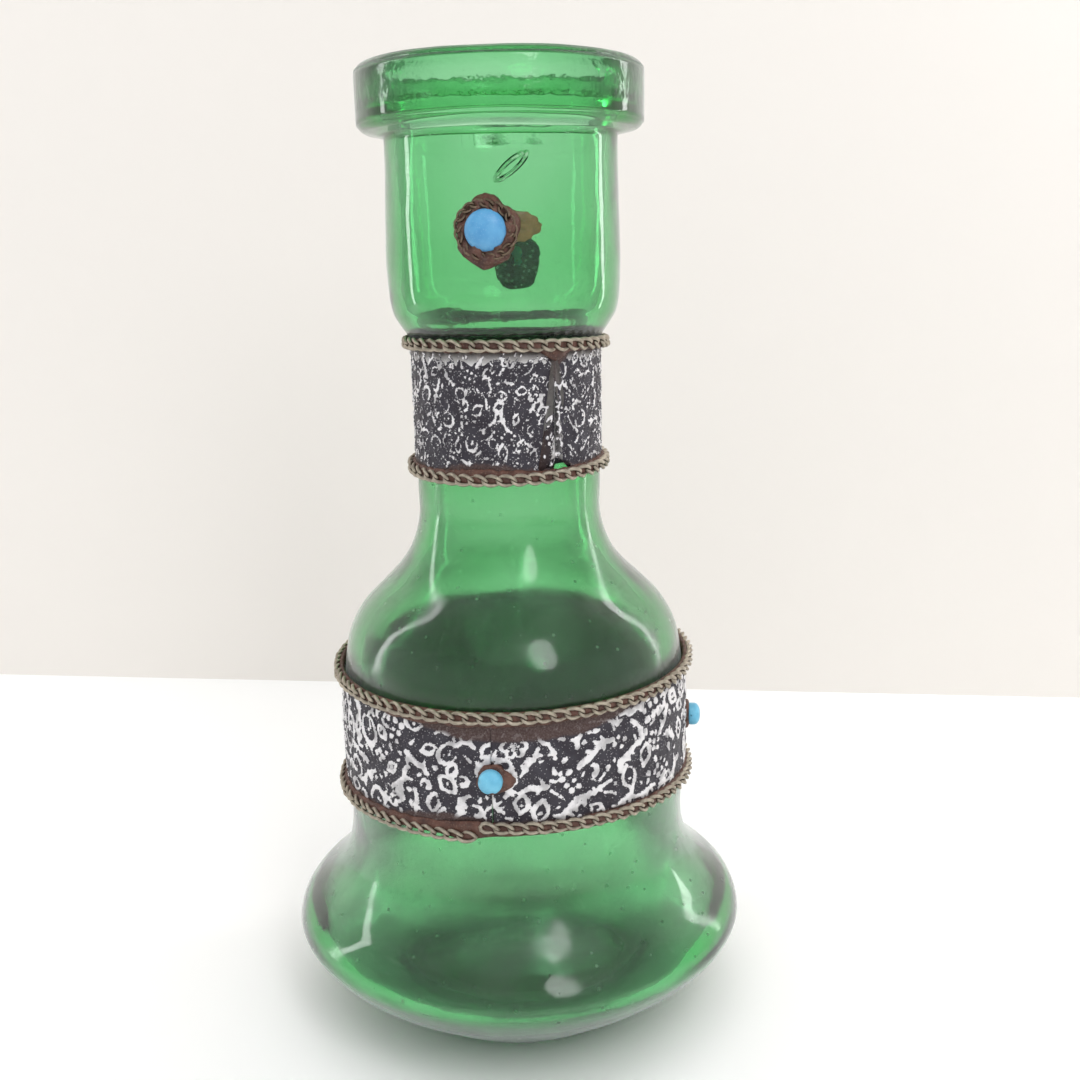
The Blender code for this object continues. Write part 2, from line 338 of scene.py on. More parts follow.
def stage_material(name, colour, one_sided):
    material, tree = new_material(name)
    grain = add_node(tree, "TexNoise", Scale=900.0, Detail=3.0)
    broad = add_node(tree, "TexNoise", Scale=3.0, Detail=2.0)
    shade = map_range(tree, broad.outputs["Fac"], 0.3, 0.7)
    darker = tuple(channel * 0.97 for channel in colour[:3]) + (1.0,)
    tint = blend_colours(tree, shade, colour, darker)
    bump = add_node(tree, "Bump", Strength=0.05, Distance=0.0003, Height=grain.outputs["Fac"])
    surface = add_node(
        tree, "BsdfPrincipled", Base_Color=tint, Roughness=0.85, Normal=bump.outputs["Normal"]
    )
    output = add_node(tree, "OutputMaterial")
    if one_sided:
        clear = add_node(tree, "BsdfTransparent")
        side = add_node(tree, "NewGeometry")
        either = add_node(tree, "MixShader", Fac=side.outputs["Backfacing"])
        feed(tree, either, "1", surface.outputs["BSDF"])
        feed(tree, either, "2", clear.outputs["BSDF"])
        feed(tree, output, "Surface", either.outputs["Shader"])
    else:
        feed(tree, output, "Surface", surface.outputs["BSDF"])
    return material


def add_stage(name, location, turn, size, material):
    deselect()
    bpy.ops.mesh.primitive_plane_add(size=1, location=location, rotation=turn)
    sheet = bpy.context.object
    sheet.scale = (size[0], size[1], 1)
    bpy.ops.object.transform_apply(location=True, rotation=True, scale=True)
    sheet.name = name
    sheet.data.materials.append(material)
    sheet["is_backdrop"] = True


table_paint = stage_material("table", paint(0.95, 0.95, 0.94), one_sided=False)
wall_paint = stage_material("wall", paint(0.85, 0.81, 0.765), one_sided=True)
add_stage("table", (0, 0, TABLE_HEIGHT), (0, 0, 0), TABLE_SIZE, table_paint)
wall_place = (-WALL_DISTANCE * math.sin(WALL_TURN), WALL_DISTANCE * math.cos(WALL_TURN), 1.0)
add_stage("wall", wall_place, (math.radians(90), 0, WALL_TURN), WALL_SIZE, wall_paint)
print("wall stands", round(WALL_DISTANCE / MM), "mm behind the candlestick")

# %% [markdown]
# ## Lights
#
# Glass has little colour of its own to show: it shows what is round it. A tall narrow window at each side
# draws the bright streaks that run down its curves, and an oval one high in front leaves a pale patch on the
# base. Most of the light comes from a wide soft ceiling. It is kept out of reflections, because its square
# outline would show on the shoulder.

# %% Lights
def add_light(name, location, size, power, target=(0, 0, 0.12)):
    """A rectangular lamp at a place, facing the candlestick. Sizes are width and height."""
    lamp = bpy.data.lights.new(name, "AREA")
    lamp.shape = "RECTANGLE"
    lamp.size, lamp.size_y = size
    lamp.energy = power
    holder = bpy.data.objects.new(name, lamp)
    bpy.context.scene.collection.objects.link(holder)
    holder.location = location
    holder.rotation_euler = (Vector(target) - Vector(location)).to_track_quat("-Z", "Y").to_euler()
    return holder


def beside_camera(bearing, distance, height):
    """A place at a bearing round the candlestick, in degrees from the camera towards its right."""
    turn = CAMERA_BEARING + math.radians(bearing)
    return (distance * math.sin(turn), -distance * math.cos(turn), height)


add_light("window_left", beside_camera(-101, 0.55, 0.35), size=(0.05, 0.75), power=0.75)
add_light("window_right", beside_camera(110, 0.38, 0.25), size=(0.035, 0.50), power=0.36)
front_window = add_light("window_front", beside_camera(21, 0.46, 0.46), size=(0.16, 0.40), power=0.80)
front_window.data.shape = "ELLIPSE"
ceiling = add_light("ceiling", beside_camera(12, 0.35, 0.95), size=(1.2, 1.2), power=6.2)
ceiling.visible_glossy = False
print("lights:", sorted(lamp.name for lamp in bpy.data.lights))

# %% [markdown]
# ## The room
#
# An even surrounding would make every edge of the glass equally light. In a real room the walls are the
# brightest thing at eye level, the ceiling is dimmer, and what is below the table is dark.

# %% Light of the room
WALL_LIGHT = 0.61
FLOOR_LIGHT = 0.12
CEILING_SHARE = 0.62


def light_room():
    """Surroundings whose strength depends on how far up one looks, from -1 (down) to 1 (up)."""
    world = bpy.data.worlds.new("room")
    bpy.context.scene.world = world
    world.use_nodes = True
    tree = world.node_tree
    direction = add_node(tree, "TexCoord").outputs["Generated"]
    up = add_node(tree, "SeparateXYZ", Vector=direction).outputs["Z"]
    walls = map_range(tree, up, -0.25, 0.0, FLOOR_LIGHT, WALL_LIGHT)
    dimmer = map_range(tree, up, 0.2, 0.7, 1.0, CEILING_SHARE)
    background = tree.nodes["Background"]
    background.inputs["Color"].default_value = paint(0.95, 0.97, 1.0)
    feed(tree, background, "Strength", times(tree, walls, dimmer))


light_room()
bpy.context.scene.view_settings.view_transform = "Standard"
print("room:", WALL_LIGHT, "at eye level,", FLOOR_LIGHT, "below the table")

# %% [markdown]
# ## Shared surface effects
#
# Two effects come back in several finishes, so each is a node group: a speckle for stipple, pits and dust,
# and a mottle for slow changes of tone. Both read Object coordinates, so they stay put on the piece.

# %% Shared node groups
def new_group(name, inputs, outputs):
    """An empty node group with float inputs as {name: default} and float outputs by name."""
    group = bpy.data.node_groups.new(name, "ShaderNodeTree")
    for title, default in inputs.items():
        socket = group.interface.new_socket(name=title, in_out="INPUT", socket_type="NodeSocketFloat")
        socket.default_value = default
    for title in outputs:
        group.interface.new_socket(name=title, in_out="OUTPUT", socket_type="NodeSocketFloat")
    return group, group.nodes.new("NodeGroupInput"), group.nodes.new("NodeGroupOutput")


def speckle_group():
    """Small round spots. Size is in spots per metre, and Share is how much of the surface they cover."""
    group, given, result = new_group("speckle", {"Size": 900.0, "Share": 0.3}, ("Mask",))
    place = add_node(group, "TexCoord").outputs["Object"]
    cells = add_node(group, "TexVoronoi", Vector=place, Scale=given.outputs["Size"])
    low = times(group, given.outputs["Share"], 0.8)
    mask = map_range(group, cells.outputs["Distance"], low, given.outputs["Share"], 1.0, 0.0)
    group.links.new(mask, result.inputs["Mask"])
    return group


def mottle_group():
    """Slow cloudy change between 0 and 1. Size is in clouds per metre."""
    group, given, result = new_group("mottle", {"Size": 60.0, "Contrast": 0.25}, ("Mask",))
    clouds = noise_on(group, given.outputs["Size"], 4.0)
    low = math_node(group, "SUBTRACT", 0.5, given.outputs["Contrast"])
    high = plus(group, 0.5, given.outputs["Contrast"])
    mask = map_range(group, clouds, low, high)
    group.links.new(mask, result.inputs["Mask"])
    return group


speckle = speckle_group()
mottle = mottle_group()


def use_group(tree, group, **inputs):
    made = add_node(tree, "Group", {"node_tree": group}, **inputs)
    return made.outputs["Mask"]


print("shared effects:", [group.name for group in bpy.data.node_groups])

# %% [markdown]
# ## The glass
#
# A turned shape needs only half of its section: draw the line of the wall, from the middle of the foot out,
# up, over the rim and down the inside, and spin it once. Stacking cylinders would leave a crease at each
# join. Blown and moulded glass is never quite even, so a slow displacement then moves the two skins a
# fraction of a millimetre. That is what makes its reflections wander.

# %% Turn the glass
SMOOTH_TURN = math.cos(math.radians(35))


def turn_outline(outline, steps):
    """Draws an outline of (radius, height) pairs point by point and spins it round the Z axis."""
    deselect()
    bpy.ops.mesh.primitive_plane_add(size=MM)
    bpy.ops.object.mode_set(mode="EDIT")
    bpy.ops.mesh.select_all(action="SELECT")
    bpy.ops.mesh.merge(type="CENTER")
    bpy.ops.transform.translate(value=(outline[0][0], 0, outline[0][1]))
    for (radius, height), (next_radius, next_height) in zip(outline, outline[1:]):
        step = (next_radius - radius, 0, next_height - height)
        bpy.ops.mesh.extrude_vertices_move(TRANSFORM_OT_translate={"value": step})
    bpy.ops.mesh.select_all(action="SELECT")
    bpy.ops.mesh.spin(steps=steps, angle=math.tau, center=(0, 0, 0), axis=(0, 0, 1))
    bpy.ops.mesh.select_all(action="SELECT")
    bpy.ops.mesh.remove_doubles(threshold=1e-6)
    bpy.ops.mesh.normals_make_consistent(inside=False)
    bpy.ops.object.mode_set(mode="OBJECT")
    return bpy.context.object


def cloud_texture(name, size):
    texture = bpy.data.textures.new(name, "CLOUDS")
    texture.noise_scale = size
    return texture


def refine(outline):
    """Adds a point between each two: on the smooth curve through them, or halfway beside a corner."""
    line = np.array(outline)
    runs = np.diff(line, axis=0)
    runs /= np.linalg.norm(runs, axis=1)[:, None]
    straight = np.concatenate([[0], (runs[1:] * runs[:-1]).sum(axis=1), [0]])
    finer = [outline[0]]
    for number in range(len(line) - 1):
        middle = (line[number] + line[number + 1]) / 2
        if min(straight[number], straight[number + 1]) > SMOOTH_TURN:
            middle += (line[number] + line[number + 1] - line[number - 1] - line[number + 2]) / 16
        finer += [tuple(middle), outline[number + 1]]
    return finer


glass = turn_outline(refine(glass_outline), steps=128)
apply_modifier(
    glass, "DISPLACE", texture=cloud_texture("slow wave", 0.022), strength=0.5 * MM, texture_coords="LOCAL"
)
print("glass corners:", len(glass.data.vertices))

# %% [markdown]
# ## The finish of the glass
#
# The green isn't painted on. It comes from the distance that light travels through the glass, so it is a
# volume that absorbs red and blue. Thin walls look light and the thick collar and floor look deep.
#
# The surface is far from new. The rim and the foot are ground, the collar is rough from its mould, and the
# lower body is hazy from wiping and dusty. The base is tinted darker, a painted shade for the table's shadow
# seen through it. One finish covers the whole vessel, so each of these is a zone by height, with a soft
# start and end.

# %% Zones of the glass
COLLAR_EDGE = (0.2046, 0.2066)
BODY_TOP = (0.122, 0.150)
GROUND_RIM = (0.2144, 0.2149)
GROUND_FOOT = (0.0006, 0.0012)
BASE_TOP = (0.040, 0.062)
BASE_FLOOR = (0.010, 0.036)
WAIST_BOTTOM = (0.034, 0.044)
WAIST_TOP = (0.052, 0.059)
WIDEST_TOP = (0.022, 0.034)


def above(tree, height, edge):
    return map_range(tree, height, *edge)


def below(tree, height, edge):
    return map_range(tree, height, *edge, 1.0, 0.0)


def glass_zones(tree, height):
    """Masks that are 1 on one part of the vessel each."""
    ground = math_node(tree, "MAXIMUM", above(tree, height, GROUND_RIM), below(tree, height, GROUND_FOOT))
    off_floor = map_range(tree, height, *BASE_FLOOR, 0.15, 1.0)
    return {
        "collar": above(tree, height, COLLAR_EDGE),
        "body": below(tree, height, BODY_TOP),
        "ground": ground,
        "base": times(tree, below(tree, height, BASE_TOP), off_floor),
        "waist": times(tree, above(tree, height, WAIST_BOTTOM), below(tree, height, WAIST_TOP)),
        "widest": below(tree, height, WIDEST_TOP),
    }

# %% [markdown]
# The wall of the cup has one fault, a small fold shaped like an almond. It is too slight to be worth points
# of its own, so it is a ridge in the bump: every place whose distance from the middle of a stretched ball is
# close to 1.

# %% A fold in the cup
FOLD_PLACE = (0.0050, -0.0243, 0.1927)
FOLD_TURN = math.radians(-49)
FOLD_SIZE = (0.0010, 0.0060, 0.0036)
FOLD_EDGE = 0.34


def fold_mask(tree, place):
    """1 along the edge of the fold."""
    apart = add_node(tree, "VectorMath", {"operation": "SUBTRACT"})
    feed(tree, apart, "0", place)
    feed(tree, apart, "1", FOLD_PLACE)
    turned = add_node(tree, "VectorRotate", {"rotation_type": "Y_AXIS"}, Angle=FOLD_TURN)
    feed(tree, turned, "Vector", apart.outputs[0])
    shrunk = add_node(tree, "VectorMath", {"operation": "DIVIDE"})
    feed(tree, shrunk, "0", turned.outputs[0])
    feed(tree, shrunk, "1", FOLD_SIZE)
    reach = add_node(tree, "VectorMath", {"operation": "LENGTH"})
    feed(tree, reach, "0", shrunk.outputs[0])
    off_edge = math_node(tree, "ABSOLUTE", math_node(tree, "SUBTRACT", reach.outputs["Value"], 1.0))
    return map_range(tree, off_edge, 0.0, FOLD_EDGE, 1.0, 0.0)

# %% [markdown]
# The finish itself is put together from its relief, its roughness and its tint. The tint is almost clear,
# and it carries painted shade: darker on the base, darker still at the edges of the waist and along the
# fold, and grey where the glass is seen edge on, a painted reflection of the dim room.

# %% Glass material
CLEAR = paint(0.97, 1.0, 0.98)
BASE_SHADE_TINT = paint(0.80, 0.77, 0.80)
WAIST_EDGE_SHADE = paint(0.40, 0.36, 0.41)
EDGE_REFLECTION_GREY = paint(0.30, 0.235, 0.29)
FOLD_SHADE_GREEN = paint(0.30, 0.42, 0.32)
GREEN_ABSORBED = paint(0.12, 0.79, 0.33)


def glass_relief(tree, zones, fold):
    hammered = noise_on(tree, 420.0, 2.0)
    waves = noise_on(tree, 90.0, 1.0)
    pits = use_group(tree, speckle, Size=700.0, Share=0.16)
    hammering = times(tree, hammered, map_range(tree, zones["collar"], 0.0, 1.0, 0.05, 0.8))
    relief = math_node(tree, "SUBTRACT", plus(tree, hammering, waves), times(tree, pits, 0.10))
    return plus(tree, relief, times(tree, fold, 2.0))


def glass_roughness(tree, zones, wiped, dust):
    rough = plus(tree, times(tree, zones["ground"], 0.45), 0.03)
    rough = plus(tree, rough, times(tree, zones["collar"], 0.09))
    rough = plus(tree, rough, times(tree, zones["body"], map_range(tree, wiped, 0.0, 1.0, 0.03, 0.13)))
    return plus(tree, rough, times(tree, dust, 0.5))


def glass_tint(tree, zones, wiped, fold):
    # Painted shade: the base is tinted darker, in patches, for the table's shadow seen through the glass.
    base_shade = times(tree, zones["base"], map_range(tree, wiped, 0.0, 1.0, 0.35, 1.0))
    tint = blend_colours(tree, base_shade, CLEAR, BASE_SHADE_TINT)
    facing = add_node(tree, "LayerWeight", Blend=0.5).outputs["Facing"]
    # Painted shade: the waist is tinted dark where it turns away from the camera.
    waist_edge_shade = times(tree, zones["waist"], map_range(tree, facing, 0.28, 0.50))
    tint = blend_colours(tree, waist_edge_shade, tint, WAIST_EDGE_SHADE)
    # Painted reflection: glass seen edge on is tinted grey like the dim room, more so on the collar and the
    # widest part.
    edge_reflection = plus(tree, facing, times(tree, zones["collar"], 0.30))
    edge_reflection = plus(tree, edge_reflection, times(tree, zones["widest"], 0.15))
    tint = blend_colours(tree, map_range(tree, edge_reflection, 0.32, 0.92), tint, EDGE_REFLECTION_GREY)
    # Painted shade: the edge of the fold is tinted a darker green.
    return blend_colours(tree, times(tree, fold, 0.6), tint, FOLD_SHADE_GREEN)


def glass_material():
    material, tree = new_material("green_glass")
    place = add_node(tree, "TexCoord").outputs["Object"]
    zones = glass_zones(tree, add_node(tree, "SeparateXYZ", Vector=place).outputs["Z"])
    fold = fold_mask(tree, place)
    wiped = use_group(tree, mottle, Size=110.0, Contrast=0.22)
    dust = times(tree, use_group(tree, speckle, Size=240.0, Share=0.10), zones["body"])
    bump = add_node(tree, "Bump", Strength=0.6, Distance=0.00035, Height=glass_relief(tree, zones, fold))
    film = plus(tree, times(tree, zones["body"], 0.5), 0.15)
    surface = add_node(
        tree,
        "BsdfPrincipled",
        Base_Color=glass_tint(tree, zones, wiped, fold),
        Roughness=glass_roughness(tree, zones, wiped, dust),
        IOR=1.5,
        Transmission_Weight=1.0,
        Sheen_Weight=0.36,
        Sheen_Roughness=0.45,
        Sheen_Tint=paint(0.80, 0.86, 0.84),
        Coat_Weight=plus(tree, film, times(tree, dust, 0.35)),
        Coat_Roughness=0.6,
        Normal=bump.outputs["Normal"],
    )
    absorb = add_node(tree, "VolumeAbsorption", Color=GREEN_ABSORBED, Density=295.0)
    output = add_node(tree, "OutputMaterial", Surface=surface.outputs["BSDF"])
    feed(tree, output, "Volume", absorb.outputs["Volume"])
    return material


finish_piece(glass, "glass_vessel", glass_material(), ["glass_body"])

# %% [markdown]
# ## Embossed sheet
#
# The strips are foil-thin metal that was pressed on a block cut with flowers, ringed eyes, berries, leaves
# and twigs, then blackened and rubbed so that only the high lines are bright. The pattern has to be real
# relief: it catches light from every side and shows in profile. A picture wrapped on a smooth band would
# look printed.
#
# The strip starts as a flat sheet with a fine grid. Each motif is a handful of strokes, and a stroke raises
# every point within its half width. The same depth is kept on the sheet as an attribute, so the finish can
# be bright exactly where the metal stands up.

# %% Strokes that make up the motifs
def curve(radius, start=0, sweep=360, centre=0j, squash=1.0, count=14):
    """Points round an arc as complex numbers, in millimetres."""
    turns = np.radians(np.linspace(start, start + sweep, count))
    return centre + radius * (np.cos(turns) + 1j * squash * np.sin(turns))


def stroke(points, start, end=None):
    """A line through points whose half width runs from start to end, in millimetres."""
    return points, np.linspace(start, start if end is None else end, len(points))


def dot(place, half_width):
    return stroke(np.array([place, place + 0.01]), half_width)

# %% [markdown]
# Every motif draws its own proportions, so no two are alike. It gives its strokes and how far it reaches.

# %% Motifs
def ringed_eye(draw):
    squash = draw.uniform(1.1, 1.4)
    gap = draw.uniform(20, 110)
    start = draw.uniform(0, 360)
    split = draw.uniform(90, 200)
    strokes = [
        stroke(curve(1.9, start, split, squash=squash), draw.uniform(0.15, 0.4), draw.uniform(0.3, 0.6)),
        stroke(
            curve(1.8, start + split + 22, 338 - split - gap, squash=squash), draw.uniform(0.4, 0.6), 0.1
        ),
        dot(complex(*draw.uniform(-0.3, 0.3, 2)), draw.uniform(0.2, 0.4)),
    ]
    for turn in draw.uniform(0, math.tau, 2):
        strokes.append(dot(0.9 * np.exp(1j * turn), 0.16))
    return strokes, 2.8


def rosette(draw):
    petals = draw.integers(5, 7)
    strokes = [dot(0j, 0.3)]
    for petal in range(petals):
        aim = np.exp(1j * (math.tau * petal / petals + draw.uniform(-0.1, 0.1)))
        arc = curve(0.82, -105, 210, count=8) * aim + 1.75 * aim
        strokes.append(stroke(arc, draw.uniform(0.16, 0.3), draw.uniform(0.2, 0.55)))
        strokes.append(dot(0.75 * aim, 0.18))
    return strokes, 2.9


def berries(draw):
    rows = draw.integers(2, 4)
    columns = draw.integers(2, 5)
    strokes = []
    for row in range(rows):
        for column in range(columns):
            place = complex(1.65 * (column - columns / 2 + 0.5), 1.6 * (row - rows / 2 + 0.5))
            place += complex(*draw.uniform(-0.18, 0.18, 2))
            strokes.append(dot(place, draw.uniform(0.42, 0.62)))
    return strokes, 0.8 * max(rows, columns) + 0.4


def branch(draw):
    spine = [0j]
    aim = 0.0
    for step in range(draw.integers(4, 7)):
        aim = draw.uniform(-0.75, 0.75)
        spine.append(spine[-1] + draw.uniform(1.0, 1.7) * np.exp(1j * aim))
    spine = np.array(spine) - np.mean(spine)
    strokes = [stroke(spine, draw.uniform(0.25, 0.4), draw.uniform(0.3, 0.6))]
    for joint in spine[1:-1]:
        if draw.random() < 0.75:
            tip = joint + draw.uniform(0.9, 1.6) * np.exp(1j * draw.choice([-1, 1]) * draw.uniform(0.9, 1.9))
            strokes.append(stroke(np.array([joint, tip]), 0.5, 0.18))
    return strokes, 2.7


def leaf(draw):
    length = draw.uniform(1.5, 2.3)
    run = np.linspace(-length, length, 9)
    upper = run + 0.62j * length * np.cos(run / length * math.pi / 2)
    strokes = [
        stroke(upper, draw.uniform(0.2, 0.35), draw.uniform(0.25, 0.5)),
        stroke(np.conj(upper), draw.uniform(0.3, 0.5), draw.uniform(0.15, 0.3)),
    ]
    if draw.random() < 0.6:
        strokes.append(dot(complex(draw.uniform(-0.5, 0.5), 0), draw.uniform(0.25, 0.4)))
    return strokes, 0.85 * length + 0.3


def comma(draw):
    return [stroke(curve(draw.uniform(0.8, 1.2), 0, draw.uniform(130, 230), count=9), 0.62, 0.14)], 1.6


def tick(draw):
    length = draw.uniform(0.4, 1.6)
    ends = np.array([-length / 2 + 0j, length / 2 + 0j])
    return [stroke(ends, draw.uniform(0.3, 0.5), 0.16)], 0.5 + length * 0.35

# %% [markdown]
# Pressing is arithmetic on the grid: of the points near a stroke, how far inside its edge does each lie? The
# deepest stroke wins, as on a cut block.

# %% A sheet to press
class Sheet:
    """A flat strip on a grid. depth is how far, in millimetres, each point lies inside a stroke."""

    def __init__(self, length, width, step):
        self.along = np.linspace(0, length, int(length / step) + 1)
        self.across = np.linspace(0, width, int(width / step) + 1)
        self.depth = np.full((len(self.along), len(self.across)), -1.0)

    def press(self, points, half_widths):
        pieces = zip(points, points[1:], half_widths, half_widths[1:])
        for start, end, first, second in pieces:
            reach = max(first, second) + 0.8
            columns = window(self.along, start.real, end.real, reach)
            rows = window(self.across, start.imag, end.imag, reach)
            grid = self.along[columns, None] + 1j * self.across[None, rows]
            run = end - start
            share = np.clip(((grid - start) * np.conj(run)).real / abs(run) ** 2, 0, 1)
            inside = first + (second - first) * share - np.abs(grid - start - share * run)
            patch = self.depth[columns, rows]
            np.maximum(patch, inside, out=patch)

    def stamp(self, strokes, place, turn, size):
        for points, half_widths in strokes:
            self.press(place + size * points * np.exp(1j * turn), half_widths * size)


def window(line, first, second, reach):
    low, high = min(first, second) - reach, max(first, second) + reach
    return slice(np.searchsorted(line, low), np.searchsorted(line, high))

# %% [markdown]
# Large motifs go first, wherever there is room, and small ones fill the ground between them. Throwing and
# keeping what fits looks less regular than a grid, and more like a block that was cut by eye.

# %% Scatter the motifs
def scatter(sheet, draw, motifs, size, tries, border, crowd):
    """Throws motifs, given as {motif: share}, on the sheet wherever there is room."""
    taken = np.empty((0, 3))
    for choice in draw.choice(len(motifs), tries, p=list(motifs.values())):
        strokes, reach = list(motifs)[choice](draw)
        scale = size * draw.uniform(0.85, 1.15)
        margin = border + 0.45 * reach * size
        place = complex(draw.uniform(0, sheet.along[-1]), draw.uniform(margin, sheet.across[-1] - margin))
        room = np.hypot(taken[:, 0] - place.real, taken[:, 1] - place.imag) - taken[:, 2]
        if len(taken) and room.min() < reach * scale * crowd:
            continue
        taken = np.vstack([taken, (place.real, place.imag, reach * scale * crowd)])
        sheet.stamp(strokes, place, draw.uniform(0, math.tau), scale)
    return len(taken)


def scatter_between(sheet, draw, motifs, size, tries, border):
    """Fills what is still bare: a small motif goes where its middle is well outside every stroke."""
    count = 0
    for choice in draw.choice(len(motifs), tries, p=list(motifs.values())):
        strokes, reach = list(motifs)[choice](draw)
        place = complex(draw.uniform(0, sheet.along[-1]), draw.uniform(border, sheet.across[-1] - border))
        column = np.searchsorted(sheet.along, place.real)
        row = np.searchsorted(sheet.across, place.imag)
        spread = int(0.6 * reach * size / (sheet.along[1] - sheet.along[0])) + 1
        patch = sheet.depth[max(column - spread, 0) : column + spread, max(row - spread, 0) : row + spread]
        if patch.size and patch.max() > -0.15 * size:
            continue
        count += 1
        sheet.stamp(strokes, place, draw.uniform(0, math.tau), size * draw.uniform(0.8, 1.1))
    return count


LARGE = {ringed_eye: 0.2, rosette: 0.08, branch: 0.38, berries: 0.14, leaf: 0.2}
SMALL = {leaf: 0.15, comma: 0.35, tick: 0.5}


def pattern_sheet(length, width, step, size, seed_number):
    sheet = Sheet(length, width, step)
    draw = np.random.default_rng(seed_number)
    area = length * width / size**2
    large = scatter(sheet, draw, LARGE, size, int(area * 0.16), 0.8, 0.74)
    small = scatter_between(sheet, draw, SMALL, size, int(area * 0.5), 0.5)
    print(f"pressed {large} large and {small} small motifs into {length:.0f} x {width:.0f} mm")
    return sheet

# %% [markdown]
# ## Wrapping the strips
#
# The strip is a closed sleeve, cut open at its seam: a finely divided outside with the relief, folded round
# its two long edges into a plain back. A flat grid is folded into that section and wrapped on the glass in
# one move of its points, because a bend modifier can't follow the swelling of the bell.

# %% Wrap a strip
SEAM_OPENING = 0.0012
SHEET_THICKNESS = 0.35
RELIEF_HEIGHT = 0.30
BACK_ROWS = 4
HALF_CHAIN = 1.5


def near(degrees, centre, spread, power=2):
    """1 at one bearing, falling to 0 about spread degrees away. A high power makes its top flat."""
    apart = (degrees - centre + 180) % 360 - 180
    return np.exp(-np.abs(apart / spread) ** power)


def smooth(value, low, high):
    share = np.clip((value - low) / (high - low), 0, 1)
    return share * share * (3 - 2 * share)


def cloud(x, y, z):
    """Smooth noise between about -1 and 1 at many places."""
    return np.array([noise.noise(Vector(place)) for place in zip(x, y, z)])


def wrap_strip(sheet, lower, upper, seam, fineness, sunk, lift, film_below, film_above):
    """Folds and wraps a pressed sheet between two chains.

    sunk is how far the edge of each stroke was worn in, in millimetres. lift raises the lower edge, and
    film_below and film_above are how far the glue was smeared past each chain. These three are functions of
    the bearing in degrees, and they give millimetres.
    """
    columns, rows = sheet.depth.shape
    deselect()
    bpy.ops.mesh.primitive_grid_add(x_subdivisions=columns - 1, y_subdivisions=rows + BACK_ROWS, size=1)
    strip = bpy.context.object
    flat = points_of(strip)
    column = np.rint((flat[:, 0] + 0.5) * (columns - 1)).astype(int)
    row = np.rint((flat[:, 1] + 0.5) * (rows + BACK_ROWS)).astype(int)
    front = row < rows
    back_share = np.clip((rows + BACK_ROWS - row) / (BACK_ROWS + 1), 0, 1)
    share = np.where(front, row / (rows - 1), back_share)
    opening = SEAM_OPENING * (1 - smooth(share, 0.40, 0.50)) + 0.00004
    bearing = seam + opening + (math.tau - 2 * opening) * column / (columns - 1)
    degrees = np.degrees(bearing)
    low = lower.height_at(bearing) + lift(degrees) * MM
    high = upper.height_at(bearing)
    height = low + (high - low) * share
    round_x, round_y = 40 * np.cos(bearing), 40 * np.sin(bearing)
    slow = cloud(round_x / 2.2, round_y / 2.2, height / MM / 2.2)
    quick = cloud(round_x / 0.7, round_y / 0.7, height / MM / 0.7)
    below = (height - lower.height_at(bearing)) / MM - HALF_CHAIN - film_below(degrees)
    above = (high - height) / MM - HALF_CHAIN - film_above(degrees)
    film = 1 - smooth(np.minimum(below, above) + 0.6 * slow, -0.5, 0.4)
    depth = sheet.depth[column, np.minimum(row, rows - 1)]
    depth = depth - sunk + fineness * (0.30 * slow + 0.20 * quick) - 0.3 * film
    raised = smooth(depth, -0.11, 0.11) * (1 - film)
    rise = SHEET_THICKNESS + 0.10 * slow + RELIEF_HEIGHT * raised + 0.12 * film
    radius = wall_at(height) + MM * np.where(front, rise, 0.12)
    move_points(strip, np.column_stack([radius * np.cos(bearing), radius * np.sin(bearing), height]))
    for name, values in (("relief", depth), ("film", film), ("bare", 1.0 - front)):
        mark = strip.data.attributes.new(name, "FLOAT", "POINT")
        mark.data.foreach_set("value", values.astype(np.float32))
    return strip

# %% [markdown]
# Both strips take the same steps. They differ in the scale of their pattern, in how worn they are, and in
# where glue was smeared over them: above the lower chain and below the upper one, at certain bearings.

# %% Press and wrap both strips
neck_sheet = pattern_sheet(length=132, width=24, step=0.27, size=0.62, seed_number=11)
neck_strip = wrap_strip(
    neck_sheet,
    chain_rings["neck_chain_lower"],
    chain_rings["neck_chain_upper"],
    seam=math.radians(-55),
    fineness=0.8,
    sunk=0.06,
    lift=lambda turn: 2.9 * near(turn, -49.5, 6.5, power=6),
    film_below=lambda turn: 0.3 + 1.5 * near(turn, -99, 22, power=4),
    film_above=lambda turn: 0.2 + 2.8 * near(turn, -52, 6),
)
bell_sheet = pattern_sheet(length=254, width=26, step=0.34, size=1.15, seed_number=23)
bell_strip = wrap_strip(
    bell_sheet,
    chain_rings["bell_chain_lower"],
    chain_rings["bell_chain_upper"],
    seam=math.radians(-90),
    fineness=1.0,
    sunk=-0.09,
    lift=lambda turn: 0.0 * turn,
    film_below=lambda turn: 0.3 + 1.4 * near(turn, -103, 14),
    film_above=lambda turn: 0.5 + 3.4 * near(turn, -80, 30, power=4),
)

# %% [markdown]
# The fold is still open along its lower edge and at its two ends. The back of the strip is seen through the
# glass, so one more face closes the sheet into a solid.

# %% Close the strips
def close_strip(strip):
    pick(strip)
    bpy.ops.object.mode_set(mode="EDIT")
    bpy.ops.mesh.select_all(action="DESELECT")
    bpy.ops.mesh.select_non_manifold()
    bpy.ops.mesh.fill_holes(sides=0)
    bpy.ops.mesh.select_all(action="SELECT")
    bpy.ops.mesh.normals_make_consistent(inside=False)
    bpy.ops.object.mode_set(mode="OBJECT")


for strip in (neck_strip, bell_strip):
    close_strip(strip)
    print("closed a strip of", len(strip.data.vertices), "points")

# %% [markdown]
# ## The finish of the sheet
#
# High lines are rubbed white metal and low ground is blackened. The bright parts follow the depth that was
# pressed in, but not exactly: a cloudy threshold lets some lines stay dark and others wear wide, and fine
# stipple leaves a grain of half-rubbed metal in the ground. Beside the chains the glue was wiped over the
# sheet and dried to a brown film. The back was never blackened, and it shows through the glass.

